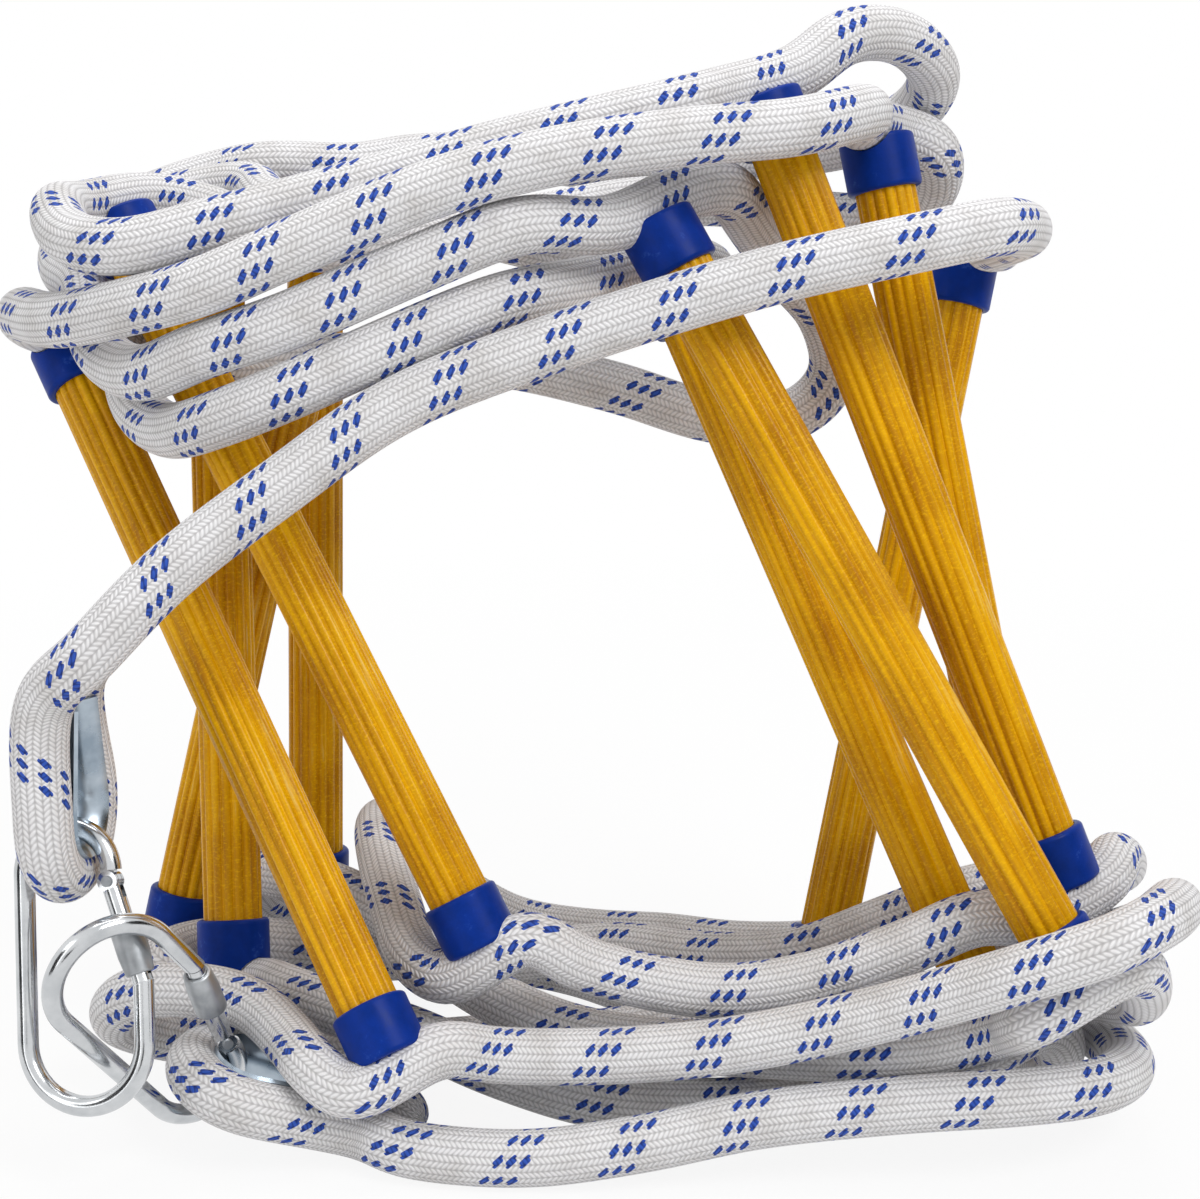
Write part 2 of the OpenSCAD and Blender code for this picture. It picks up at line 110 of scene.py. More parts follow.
lowerRope = {
    "end": -1,
    "eye": [(-137, -72, 28), (0, -1, 0), (-0.95, 0, 0.3)],
    "leg": [(-70, -75, 12)],
    "route": [
        (-77, -99, 12), (-30, -106, 11), (15, -106, 17), (60, -104, 26), (117, -105, 33),
        (160, -103, 35), (192, -92, 34), (210, -66, 30), (211, -30, 25), (200, 4, 20), (180, 30, 12),
        (140, 48, 11), 0,
        (62, 82, 11), (25, 98, 11), (-15, 101, 11), (-55, 101, 11), (-90, 103, 17), 1,
        (-160, 104, 42), (-160, 84, 58), (-145, 64, 64), (-118, 48, 64), (-88, 32, 54), (-69, 2, 48),
        (-40, -24, 40), (-12, -38, 34), (16, -48, 33), (60, -66, 38), (103, -83, 44), (133, -86, 48),
        (158, -90, 58), 2,
        (210, -84, 75), (213, -64, 59), (204, -42, 51), (187, -23, 43), (150, -10, 37), (110, -8, 34),
        (75, -4, 31), (40, 4, 20), (5, 8, 12), (-35, 6, 11), (-75, -2, 11), (-110, -4, 11), (-145, -2, 11),
        (-180, -8, 18), (-200, -26, 34), (-190, -42, 51), (-167, -50, 57), (-140, -57, 54), (-121, -76, 46),
        (-110, -95, 43), 3,
        (-44, -88, 46), (-10, -88, 45), (39, -92, 50), (69, -96, 57), (103, -102, 68), (131, -112, 81),
        (160, -126, 97), (186, -130, 108), (209, -113, 112), (219, -90, 108), (212, -64, 88), 4,
        (166, -2, 60), (166, 22, 48), (178, 54, 34), (186, 90, 30), (168, 114, 24), (142, 120, 16),
        (100, 113, 11), (63, 112, 11), (31, 122, 11), (-7, 128, 11), (-40, 126, 18), (-66, 114, 38),
        (-84, 100, 60), (-95, 74, 84), (-96, 46, 92), (-92, 14, 90), (-84, -18, 80), (-74, -46, 68), 5,
        (-10, -62, 74), (20, -64, 66), (50, -66, 63), (85, -70, 70), (120, -74, 85), (146, -74, 97), 6,
        (206, -38, 108), (214, -14, 96), (206, 14, 84), (184, 30, 74), (156, 34, 66), (120, 28, 54),
        (85, 20, 44), (43, 36, 36), (9, 52, 34), (-25, 54, 30), (-60, 54, 28), (-100, 54, 32),
        (-130, 48, 36), (-154, 48, 38), (-176, 43, 39), (-188, 31, 39), (-186, 17, 38), 7,
        (-129, -22, 44), (-106, -38, 43), (-76, -50, 38), (-40, -60, 26), (0, -66, 16), (50, -66, 14),
        (100, -62, 18), (130, -60, 26), 8,
        (187, -43, 29), (186, -27, 17), (172, -10, 12), (150, -6, 11), (125, -8, 11), (85, 4, 11),
        (50, 28, 11), (20, 52, 11), (-15, 74, 14), (-60, 77, 20), (-105, 74, 20), (-150, 68, 22), 9,
        (-216, 58, 30),
    ],
}
# saddle is how deep the rope sits in a cap and seatHalf half its straight run there; ease rounds the corners
# off; tail is the tapered splice at each end
ropeSet = {
    "diameter": 22.0, "eyeRadius": 25.0, "taper": 10.0, "thimbleLeg": 44.0, "turnPoints": 17,
    "rungLength": 330.0, "saddle": 5.7, "seatHalf": 19.3,
    "spanPoints": 24, "ringStep": 2.3, "ease": 5.0, "sides": 36,
    "tail": 24.0, "tailTip": 0.02, "firstSide": (0.3, 0.2, 1.0), "cordEvery": 3,
}


def unit(v):
    return v / np.linalg.norm(v)


def across(v, axis):
    return unit(v - axis * np.dot(v, axis))


def seatPlace(rung, end):
    low, high = (np.array(p, float) for p in rungSeats[rung])
    reach = ropeSet["rungLength"] / 2 + ropeSet["diameter"] / 2 - ropeSet["saddle"]
    return (low + high) / 2 + unit(high - low) * end * reach


def ropeKnots(rope):
    # corner points of a rope's route: its leg, the turn round the thimble, then every stop and seat
    centre, side, bend = (np.array(v, float) for v in rope["eye"])
    side, bend = unit(side), unit(bend)
    r, taper, leg = ropeSet["eyeRadius"], math.radians(ropeSet["taper"]), ropeSet["thimbleLeg"]
    legEnds = [centre + side * s * (r * math.cos(taper) - leg * math.sin(taper))
               - bend * (r * math.sin(taper) + leg * math.cos(taper)) for s in (-1, 1)]
    turn = [centre + r * (math.sin(a) * side + math.cos(a) * bend)
            for a in np.linspace(-math.pi / 2 - taper, math.pi / 2 + taper, ropeSet["turnPoints"])]
    knots = [np.array(p, float) for p in rope["leg"]] + [legEnds[0]] + turn + [legEnds[1]]
    route, end = rope["route"], rope["end"]
    place = [seatPlace(p, end) if isinstance(p, int) else np.array(p, float) for p in route]
    for k, stop in enumerate(route):
        if not isinstance(stop, int):
            knots.append(place[k])
            continue
        low, high = (np.array(p, float) for p in rungSeats[stop])
        after = place[k + 1] if k + 1 < len(route) else 2 * place[k] - place[k - 1]
        along = across(after - place[k - 1], unit(high - low))
        knots += [place[k] + s * ropeSet["seatHalf"] * along for s in (-1, 1)]
    return np.array(knots)


def smoothPath(knots):
    # centripetal spline through the knots, evened out to one step and eased at its corners
    step, ease = ropeSet["ringStep"], ropeSet["ease"]
    ends = np.vstack([2 * knots[0] - knots[1], knots, 2 * knots[-1] - knots[-2]])
    dense = []
    for a, b, c, d in zip(ends, ends[1:], ends[2:], ends[3:]):
        t0 = 0.0
        t1, t2, t3 = np.cumsum([np.linalg.norm(q - p) ** 0.5 for p, q in ((a, b), (b, c), (c, d))])
        t = np.linspace(t1, t2, ropeSet["spanPoints"], endpoint=False)[:, None]
        ab = (t1 - t) / (t1 - t0) * a + (t - t0) / (t1 - t0) * b
        bc = (t2 - t) / (t2 - t1) * b + (t - t1) / (t2 - t1) * c
        cd = (t3 - t) / (t3 - t2) * c + (t - t2) / (t3 - t2) * d
        abc = (t2 - t) / (t2 - t0) * ab + (t - t0) / (t2 - t0) * bc
        bcd = (t3 - t) / (t3 - t1) * bc + (t - t1) / (t3 - t1) * cd
        dense.append((t2 - t) / (t2 - t1) * abc + (t - t1) / (t2 - t1) * bcd)
    dense = np.vstack(dense + [knots[-1:]])
    for spacing in (step / 2, step):
        run = np.r_[0, np.cumsum(np.linalg.norm(np.diff(dense, axis=0), axis=1))]
        marks = np.linspace(0, run[-1], int(run[-1] / spacing) + 1)
        dense = np.column_stack([np.interp(marks, run, dense[:, i]) for i in range(3)])
        if spacing < step:
            half = int(3 * ease / spacing)
            weight = np.exp(-0.5 * (np.arange(-half, half + 1) * spacing / ease) ** 2)
            weight /= weight.sum()
            head = 2 * dense[0] - dense[half:0:-1]
            foot = 2 * dense[-1] - dense[-2:-half - 2:-1]
            padded = np.vstack([head, dense, foot])
            dense = np.column_stack([np.convolve(padded[:, i], weight, "valid") for i in range(3)])
    return dense


def ropeMesh(name, path):
    # tube along the path, drawn in at both ends over the tail as a tapered splice
    # u runs once round the rope and v is the length along it in metres
    radius, sides, tail = ropeSet["diameter"] / 2 * mm, ropeSet["sides"], ropeSet["tail"] * mm
    heading = np.gradient(path, axis=0)
    heading /= np.linalg.norm(heading, axis=1)[:, None]
    side = across(np.array(ropeSet["firstSide"]), heading[0])
    angles = np.linspace(0, 2 * math.pi, sides, endpoint=False)
    count = len(path)
    step = np.linalg.norm(path[1] - path[0])
    fromEnd = np.minimum(np.arange(count), np.arange(count)[::-1]) * step / tail
    radii = radius * np.sqrt(np.clip(1 - (1 - np.clip(fromEnd, 0, 1)) ** 2, ropeSet["tailTip"], 1))
    rings = []
    for centre, along, r in zip(path, heading, radii):
        side = across(side, along)
        other = np.cross(along, side)
        rings.append(centre + r * (np.cos(angles)[:, None] * side + np.sin(angles)[:, None] * other))
    points = np.vstack(rings)
    faces, uv = [], []
    for k in range(count - 1):
        for j in range(sides):
            n = (j + 1) % sides
            faces.append((k * sides + j, k * sides + n, (k + 1) * sides + n, (k + 1) * sides + j))
            uv += [(j / sides, k * step), ((j + 1) / sides, k * step), ((j + 1) / sides, (k + 1) * step),
                   (j / sides, (k + 1) * step)]
    for ring, face in ((0, range(sides - 1, -1, -1)), (count - 1, range(sides))):
        faces.append([ring * sides + j for j in face])
        uv += [(j / sides, ring * step) for j in face]
    mesh = bpy.data.meshes.new(name)
    mesh.from_pydata([tuple(p) for p in points], [], faces)
    layer = mesh.uv_layers.new(name="ropeLay")
    layer.data.foreach_set("uv", np.array(uv).ravel())
    mesh.polygons.foreach_set("use_smooth", [True] * len(mesh.polygons))
    rope = bpy.data.objects.new(name, mesh)
    bpy.context.scene.collection.objects.link(rope)
    return rope


sideRopes = {}
for name, rope in (("upper", upperRope), ("lower", lowerRope)):
    path = (smoothPath(ropeKnots(rope)) + np.array(bundleOffset)) * mm
    piece = ropeMesh(name + "BraidedRope", path)
    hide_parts(name + "_side_rope")
    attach(piece, "root")
    # points along the path, every cordEvery step between the thimble and the last rung's seat; nothing
    # further is made of them
    middle = [tuple(p) for p in path[:-1:ropeSet["cordEvery"]]] + [tuple(path[-1])]
    sideRopes[name] = piece


# screw sleeves: plain tumbled barrels, open on the gate's wire and drawn in a little towards the nose
# wideFrom is where the full width starts, measured from the middle towards the hinge; a point belongs to a
# ring when it is within level of the ring's plane, and to its rim when it is within rimMargin of the edge
sleeveSet = {
    "radius": 6.3, "length": 20.0, "bore": 4.2, "noseRadius": 5.5, "wideFrom": -2.0, "shoulder": 1.0,
    "shoulderSteps": 5, "sides": 64, "level": 0.01, "rimMargin": 0.1, "smoothBelow": 40.0,
}


def pickRing(sleeve, centre, along, inner, outer):
    # selects the points level with centre, between two distances from the gate's axis
    shape = bmesh.from_edit_mesh(sleeve.data)
    for vert in shape.verts:
        reach = vert.co - centre
        level = abs(reach.dot(along)) < sleeveSet["level"] * mm
        vert.select = level and inner * mm < reach.length < outer * mm
    shape.select_flush_mode()
    bmesh.update_edit_mesh(sleeve.data)


def barrelSleeve(name, middle, along):
    # along points from the nose to the hinge
    s = sleeveSet
    radius, far = s["radius"], s["radius"] + 1
    half = along * s["length"] / 2 * mm
    ends = [(middle - half, s["noseRadius"]), (middle + half, radius)]
    bpy.ops.object.select_all(action="DESELECT")
    bpy.ops.mesh.primitive_cylinder_add(vertices=s["sides"], radius=radius * mm, depth=s["length"] * mm,
                                        end_fill_type="NOTHING", location=middle,
                                        rotation=along.to_track_quat("Z", "Y").to_euler())
    sleeve = bpy.context.object
    sleeve.name = name
    bpy.ops.object.transform_apply(location=True, rotation=True, scale=True)
    bpy.ops.object.mode_set(mode="EDIT")
    bpy.ops.mesh.select_mode(type="VERT")
    bpy.ops.mesh.select_all(action="SELECT")
    bpy.ops.mesh.bisect(plane_co=middle + along * s["wideFrom"] * mm, plane_no=along)
    for centre, outer in ends:
        pickRing(sleeve, centre, along, 0, far)
        bpy.ops.transform.resize(value=[outer / radius] * 3, center_override=centre)
        bpy.ops.mesh.extrude_region_move()
        bpy.ops.transform.resize(value=[s["bore"] / outer] * 3, center_override=centre)
    bpy.ops.mesh.select_all(action="DESELECT")
    shape = bmesh.from_edit_mesh(sleeve.data)
    for edge in shape.edges:
        edge.select = edge.is_boundary
    bmesh.update_edit_mesh(sleeve.data)
    bpy.ops.mesh.select_mode(type="EDGE")
    bpy.ops.mesh.bridge_edge_loops()
    bpy.ops.mesh.select_mode(type="VERT")
    for centre, outer in ends:
        pickRing(sleeve, centre, along, outer - s["rimMargin"], far)
        bpy.ops.mesh.bevel(offset=s["shoulder"] * mm, segments=s["shoulderSteps"], affect="EDGES")
    bpy.ops.mesh.select_all(action="SELECT")
    bpy.ops.mesh.normals_make_consistent(inside=False)
    bpy.ops.object.mode_set(mode="OBJECT")
    bpy.ops.object.shade_smooth_by_angle(angle=math.radians(s["smoothBelow"]))
    return sleeve


sleeves = []
for joint in frame["record"]["behaviour"]["joints"]:
    if joint["type"] == "slide":
        name = joint["child"].split("_")[0]
        low, high = (Vector(corner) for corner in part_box(name + "_screw_sleeve"))
        along = Vector(joint["axis"]).normalized()  # each sleeve slides from the nose towards the hinge
        sleeve = barrelSleeve(name + "BarrelSleeve", (low + high) / 2, along)
        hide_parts(name + "_screw_sleeve")
        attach(sleeve, joint["child"])
        sleeves.append(sleeve)
print("sleeves turned")


# materials
mathNode = "ShaderNodeMath"


def paint(hexColour):
    channels = [int(hexColour[i:i + 2], 16) / 255 for i in (1, 3, 5)]
    return [c / 12.92 if c < 0.04045 else ((c + 0.055) / 1.055) ** 2.4 for c in channels] + [1.0]


def newMaterial(name):
    material = bpy.data.materials.new(name)
    material.use_nodes = True
    return material, material.node_tree, material.node_tree.nodes["Principled BSDF"]


def addNode(tree, kind, settings, links):
    # settings are the node's own properties; each link is a value, a node or one output of a node
    node = tree.nodes.new(kind)
    for key, value in settings.items():
        setattr(node, key, value)
    for key, value in links.items():
        if isinstance(value, bpy.types.Node):
            value = value.outputs[0]
        if isinstance(value, bpy.types.NodeSocket):
            tree.links.new(value, node.inputs[key])
        else:
            node.inputs[key].default_value = value
    return node


def spread(values):
    # numbers for the sockets from 1 onwards: the ends of a Map Range, or what to multiply by and add
    return dict(enumerate(values, start=1))


def setRamp(node, stops):
    ramp = node.color_ramp
    while len(ramp.elements) < len(stops):
        ramp.elements.new(0.5)
    for element, (place, colour) in zip(ramp.elements, stops):
        element.position = place
        element.color = paint(colour)
    return node


# braided polyester: matt white yarn in fine V stitches, with royal-blue marker yarns that surface in threes;
# painted shade greys the stitch valleys, and the blue flecks get a lit blue on the crests and a shaded blue
# in the valleys
# lengths are in mm along the rope; a fleck's long and wide are half sizes; lift is (share of the wave, floor)
braidSet = {
    "white": "#ECEBEC", "valleyShade": "#B4B2B3", "dusk": "#B9B2A8", "blueLitCrest": "#2E54B4",
    "blueShadedValley": "#142868", "period": 44.0, "rows": 8, "inGroup": 3, "gap": 5.2, "slant": 42.0,
    "fleckLong": 2.6, "fleckWide": 1.25, "strandShift": 0.45, "longCorner": 6.0, "wideCorner": 5.0,
    "stitch": 2.0, "columns": 12, "stitchLean": 1.9, "stitchLift": (0.35, 0.65), "columnLift": (0.8, 0.2),
    "stitchShade": (0.1, 0.6, 0.0, 1.0), "cloud": 60.0, "soil": (0.45, 0.75, 0.0, 0.3), "wobble": 1.4,
    "roughness": 0.85, "sheen": 0.08, "specular": 0.3, "bump": 0.9, "bumpHeight": 0.6 * mm,
}


def braidMaterial():
    s = braidSet
    rowWide = math.pi * ropeSet["diameter"] / s["rows"]
    ca, sa = math.cos(math.radians(s["slant"])), math.sin(math.radians(s["slant"]))
    material, tree, shader = newMaterial("braidedPolyester")
    uv = addNode(tree, "ShaderNodeUVMap", {"uv_map": "ropeLay"}, {})
    split = addNode(tree, "ShaderNodeSeparateXYZ", {}, {0: uv})
    turn = split.outputs["X"]
    place = addNode(tree, "ShaderNodeTexCoord", {}, {}).outputs["Object"]
    cloud = addNode(tree, "ShaderNodeTexNoise", {}, {"Vector": place, "Scale": s["cloud"], "Detail": 2.0})
    stray = addNode(tree, mathNode, {"operation": "MULTIPLY"}, {0: cloud, 1: s["wobble"]})
    run = addNode(tree, mathNode, {"operation": "MULTIPLY_ADD"}, {0: split.outputs["Y"], 1: 1 / mm, 2: stray})
    # marker yarns: rows round the rope, groups along it, each fleck two strands side by side
    rowPlace = addNode(tree, mathNode, {"operation": "MULTIPLY"}, {0: turn, 1: s["rows"]})
    row = addNode(tree, mathNode, {"operation": "FLOOR"}, {0: rowPlace})
    step = addNode(tree, mathNode, {"operation": "MULTIPLY_ADD"},
                   {0: row, 1: s["period"] / s["rows"], 2: run})
    groupRun = addNode(tree, mathNode, {"operation": "FLOORED_MODULO"}, {0: step, 1: s["period"]})
    inGroup = addNode(tree, mathNode, {"operation": "LESS_THAN"}, {0: groupRun, 1: s["inGroup"] * s["gap"]})
    fleckRun = addNode(tree, mathNode, {"operation": "FLOORED_MODULO"}, {0: groupRun, 1: s["gap"]})
    x = addNode(tree, mathNode, {"operation": "SUBTRACT"}, {0: fleckRun, 1: s["gap"] / 2})
    rowPart = addNode(tree, mathNode, {"operation": "FRACT"}, {0: rowPlace})
    y = addNode(tree, mathNode, {"operation": "MULTIPLY_ADD"}, {0: rowPart, 1: -rowWide, 2: rowWide / 2})
    xs = addNode(tree, mathNode, {"operation": "MULTIPLY"}, {0: x, 1: sa})
    ys = addNode(tree, mathNode, {"operation": "MULTIPLY"}, {0: y, 1: sa})
    wide = addNode(tree, mathNode, {"operation": "MULTIPLY_ADD"}, {0: y, 1: -ca, 2: xs})
    strand = addNode(tree, mathNode, {"operation": "SIGN"}, {0: wide})
    long = addNode(tree, mathNode, {"operation": "MULTIPLY_ADD"}, {0: x, 1: ca, 2: ys})
    longShift = addNode(tree, mathNode, {"operation": "MULTIPLY_ADD"},
                        {0: strand, 1: s["strandShift"], 2: long})
    longPart = addNode(tree, mathNode, {"operation": "DIVIDE"}, {0: longShift, 1: s["fleckLong"]})
    widePart = addNode(tree, mathNode, {"operation": "DIVIDE"}, {0: wide, 1: s["fleckWide"]})
    longSide = addNode(tree, mathNode, {"operation": "ABSOLUTE"}, {0: longPart})
    wideSide = addNode(tree, mathNode, {"operation": "ABSOLUTE"}, {0: widePart})
    longEdge = addNode(tree, mathNode, {"operation": "POWER"}, {0: longSide, 1: s["longCorner"]})
    wideEdge = addNode(tree, mathNode, {"operation": "POWER"}, {0: wideSide, 1: s["wideCorner"]})
    reach = addNode(tree, mathNode, {"operation": "ADD"}, {0: longEdge, 1: wideEdge})
    inside = addNode(tree, mathNode, {"operation": "LESS_THAN"}, {0: reach, 1: 1.0})
    fleck = addNode(tree, mathNode, {"operation": "MULTIPLY"}, {0: inside, 1: inGroup})
    # stitches: slanted ridges whose slant turns over from one column of yarn to the next
    columnPlace = addNode(tree, mathNode, {"operation": "MULTIPLY"}, {0: turn, 1: s["columns"]})
    columnPart = addNode(tree, mathNode, {"operation": "FRACT"}, {0: columnPlace})
    centred = addNode(tree, mathNode, {"operation": "SUBTRACT"}, {0: columnPart, 1: 0.5})
    fold = addNode(tree, mathNode, {"operation": "ABSOLUTE"}, {0: centred})
    stitchRun = addNode(tree, mathNode, {"operation": "DIVIDE"}, {0: run, 1: s["stitch"]})
    lean = addNode(tree, mathNode, {"operation": "MULTIPLY_ADD"}, {0: fold, 1: s["stitchLean"], 2: stitchRun})
    wave = addNode(tree, mathNode, {"operation": "MULTIPLY"}, {0: lean, 1: 2 * math.pi})
    ridge = addNode(tree, mathNode, {"operation": "SINE"}, {0: wave})
    yarnWave = addNode(tree, mathNode, {"operation": "MULTIPLY"}, {0: columnPlace, 1: 2 * math.pi})
    yarnSide = addNode(tree, mathNode, {"operation": "SINE"}, {0: yarnWave})
    yarnCrown = addNode(tree, mathNode, {"operation": "ABSOLUTE"}, {0: yarnSide})
    crest = addNode(tree, mathNode, {"operation": "MULTIPLY_ADD"}, {0: ridge, **spread(s["stitchLift"])})
    crown = addNode(tree, mathNode, {"operation": "MULTIPLY_ADD"}, {0: yarnCrown, **spread(s["columnLift"])})
    relief = addNode(tree, mathNode, {"operation": "MULTIPLY"}, {0: crest, 1: crown})
    # painted shade: the stitch relief mixes the white yarn down to a grey where the stitches dip
    stitchShade = addNode(tree, "ShaderNodeMapRange", {}, {0: relief, **spread(s["stitchShade"])})
    yarn = addNode(tree, "ShaderNodeMix", {"data_type": "RGBA"},
                   {0: stitchShade, 6: paint(s["valleyShade"]), 7: paint(s["white"])})
    soil = addNode(tree, "ShaderNodeMapRange", {}, {0: cloud, **spread(s["soil"])})
    soiled = addNode(tree, "ShaderNodeMix", {"data_type": "RGBA", "blend_type": "MULTIPLY"},
                     {0: soil, 6: yarn.outputs[2], 7: paint(s["dusk"])})
    # painted light on the marker yarn: a lit blue on the stitch crests and a shaded blue in the valleys
    marker = addNode(tree, "ShaderNodeMix", {"data_type": "RGBA"},
                     {0: stitchShade, 6: paint(s["blueShadedValley"]), 7: paint(s["blueLitCrest"])})
    colour = addNode(tree, "ShaderNodeMix", {"data_type": "RGBA"},
                     {0: fleck, 6: soiled.outputs[2], 7: marker.outputs[2]})
    bump = addNode(tree, "ShaderNodeBump", {},
                   {"Strength": s["bump"], "Distance": s["bumpHeight"], "Height": relief})
    tree.links.new(colour.outputs[2], shader.inputs["Base Color"])
    tree.links.new(bump.outputs["Normal"], shader.inputs["Normal"])
    shader.inputs["Roughness"].default_value = s["roughness"]
    shader.inputs["Sheen Weight"].default_value = s["sheen"]
    shader.inputs["Specular IOR Level"].default_value = s["specular"]
    return material


# pultruded glass-fibre resin: golden amber over a woven veil, satin, streaked and scuffed along the rung
# streak, cloud and scratch are noise scales to the metre; veil is the spacing of the veil's threads in mm
resinSet = {
    "deep": (0.34, "#AC6F00"), "gold": (0.6, "#DFA400"), "glint": "#FACA08", "scuff": "#E0CE80",
    "streak": 260.0, "stretch": 0.05, "cloud": 22.0, "cloudShare": 0.45,
    "veil": 0.8, "veilWide": 0.45, "glintRange": (0.5, 0.78, 0.0, 0.6),
    "scratch": 700.0, "scuffPatch": (0.55, 0.68, 0.0, 1.0), "scuffLine": (0.58, 0.68, 0.0, 0.55),
    "bump": 0.15, "bumpHeight": 0.12 * mm, "roughness": 0.27, "ior": 1.54, "specular": 0.15,
}


def resinMaterial(name, middle, lean):
    # middle and lean set the pattern's own axis on one rung
    s = resinSet
    material, tree, shader = newMaterial(name)
    place = addNode(tree, "ShaderNodeTexCoord", {}, {}).outputs["Object"]
    onRung = addNode(tree, "ShaderNodeMapping", {"vector_type": "TEXTURE"},
                     {"Vector": place, "Location": middle, "Rotation": lean})
    drawn = addNode(tree, "ShaderNodeMapping", {}, {"Vector": onRung, "Scale": (1.0, 1.0, s["stretch"])})
    streak = addNode(tree, "ShaderNodeTexNoise", {}, {"Vector": drawn, "Scale": s["streak"], "Detail": 2.0})
    cloud = addNode(tree, "ShaderNodeTexNoise", {}, {"Vector": onRung, "Scale": s["cloud"], "Detail": 3.0})
    depth = addNode(tree, "ShaderNodeMix", {"data_type": "FLOAT"}, {0: s["cloudShare"], 2: streak, 3: cloud})
    amber = setRamp(addNode(tree, "ShaderNodeValToRGB", {}, {"Fac": depth}), [s["deep"], s["gold"]])
    # short glints lie across the rung, a thread of the veil apart
    crossed = addNode(tree, "ShaderNodeMapping", {},
                      {"Vector": onRung, "Scale": (s["veilWide"], s["veilWide"], 1.0)})
    veil = addNode(tree, "ShaderNodeTexNoise", {},
                   {"Vector": crossed, "Scale": 1 / (s["veil"] * mm), "Detail": 2.0, "Roughness": 0.6})
    glint = addNode(tree, "ShaderNodeMapRange", {}, {0: veil, **spread(s["glintRange"])})
    lit = addNode(tree, "ShaderNodeMix", {"data_type": "RGBA"}, {0: glint, 6: amber, 7: paint(s["glint"])})
    scratch = addNode(tree, "ShaderNodeTexNoise", {}, {"Vector": drawn, "Scale": s["scratch"], "Detail": 3.0})
    patch = addNode(tree, "ShaderNodeMapRange", {}, {0: cloud, **spread(s["scuffPatch"])})
    thin = addNode(tree, "ShaderNodeMapRange", {}, {0: scratch, **spread(s["scuffLine"])})
    scuffed = addNode(tree, mathNode, {"operation": "MULTIPLY"}, {0: patch, 1: thin})
    worn = addNode(tree, "ShaderNodeMix", {"data_type": "RGBA"},
                   {0: scuffed, 6: lit.outputs[2], 7: paint(s["scuff"])})
    bump = addNode(tree, "ShaderNodeBump", {},
                   {"Strength": s["bump"], "Distance": s["bumpHeight"], "Height": veil})
    tree.links.new(worn.outputs[2], shader.inputs["Base Color"])
    tree.links.new(bump.outputs["Normal"], shader.inputs["Normal"])
    shader.inputs["Roughness"].default_value = s["roughness"]
    shader.inputs["IOR"].default_value = s["ior"]
    shader.inputs["Specular IOR Level"].default_value = s["specular"]
    return material


# injection-moulded polypropylene: deep royal blue, satin, with pale scuffs from stacking
# grain is the mould's texture in mm
capSet = {
    "deep": (0.2, "#04266F"), "plain": (0.6, "#052F8A"), "rub": (0.72, "#3558AE"), "rubScale": 90.0,
    "grain": 0.6, "shine": (0.35, 0.7, 0.3, 0.5), "bump": 0.15, "bumpHeight": 0.2 * mm,
    "ior": 1.49, "specular": 0.1,
}


def capMaterial():
    s = capSet
    material, tree, shader = newMaterial("mouldedPolypropylene")
    place = addNode(tree, "ShaderNodeTexCoord", {}, {}).outputs["Object"]
    grain = addNode(tree, "ShaderNodeTexNoise", {},
                    {"Vector": place, "Scale": 1 / (s["grain"] * mm), "Detail": 2.0})
    rub = addNode(tree, "ShaderNodeTexNoise", {},
                  {"Vector": place, "Scale": s["rubScale"], "Detail": 6.0, "Roughness": 0.7})
    colour = setRamp(addNode(tree, "ShaderNodeValToRGB", {}, {"Fac": rub}), [s["deep"], s["plain"], s["rub"]])
    shine = addNode(tree, "ShaderNodeMapRange", {}, {0: rub, **spread(s["shine"])})
    bump = addNode(tree, "ShaderNodeBump", {},
                   {"Strength": s["bump"], "Distance": s["bumpHeight"], "Height": grain})
    tree.links.new(colour.outputs[0], shader.inputs["Base Color"])
    tree.links.new(shine.outputs[0], shader.inputs["Roughness"])
    tree.links.new(bump.outputs["Normal"], shader.inputs["Normal"])
    shader.inputs["IOR"].default_value = s["ior"]
    shader.inputs["Specular IOR Level"].default_value = s["specular"]
    return material


# laid white polyester core: plain, matt, strand by strand, with painted shade in the hollows between the
# strands
coreSet = {
    "hollowShade": (0.0, "#B4B2AC"), "strand": (1.0, "#E6E5E2"), "spacing": 3.0, "waver": 1.0, "roughness": 0.9,
}


def coreMaterial():
    s = coreSet
    material, tree, shader = newMaterial("laidPolyesterCore")
    place = addNode(tree, "ShaderNodeTexCoord", {}, {}).outputs["Object"]
    lay = addNode(tree, "ShaderNodeTexWave", {"bands_direction": "DIAGONAL"},
                  {"Vector": place, "Scale": 1 / (s["spacing"] * mm) / 2, "Distortion": s["waver"]})
    # painted shade: the wave bands grey the hollows between the strands
    colour = setRamp(addNode(tree, "ShaderNodeValToRGB", {}, {"Fac": lay}), [s["hollowShade"], s["strand"]])
    tree.links.new(colour.outputs[0], shader.inputs["Base Color"])
    shader.inputs["Roughness"].default_value = s["roughness"]
    return material


# zinc on steel: bright drawn wire on the carabiners, tumbled satin on the sleeves and bluish hot dip on the
# thimbles, all with cloudy patches and fine marks; rough is the range over the patches and grain is in mm
zincSets = {
    "brightZincPlate": {"dark": "#BCBFC2", "light": "#D6D8DA", "rough": (0.12, 0.2), "grain": 0.8},
    "tumbledZincPlate": {"dark": "#85898D", "light": "#B9BCBF", "rough": (0.34, 0.48), "grain": 0.7},
    "hotDipGalvanising": {"dark": "#8D9BA8", "light": "#BBC6D0", "rough": (0.2, 0.38), "grain": 1.2},
}
patchSet = {
    "scale": 70.0, "darkTo": 0.35, "lightFrom": 0.65, "roughFrom": (0.3, 0.7), "bump": 0.12,
    "bumpHeight": 0.1 * mm,
}


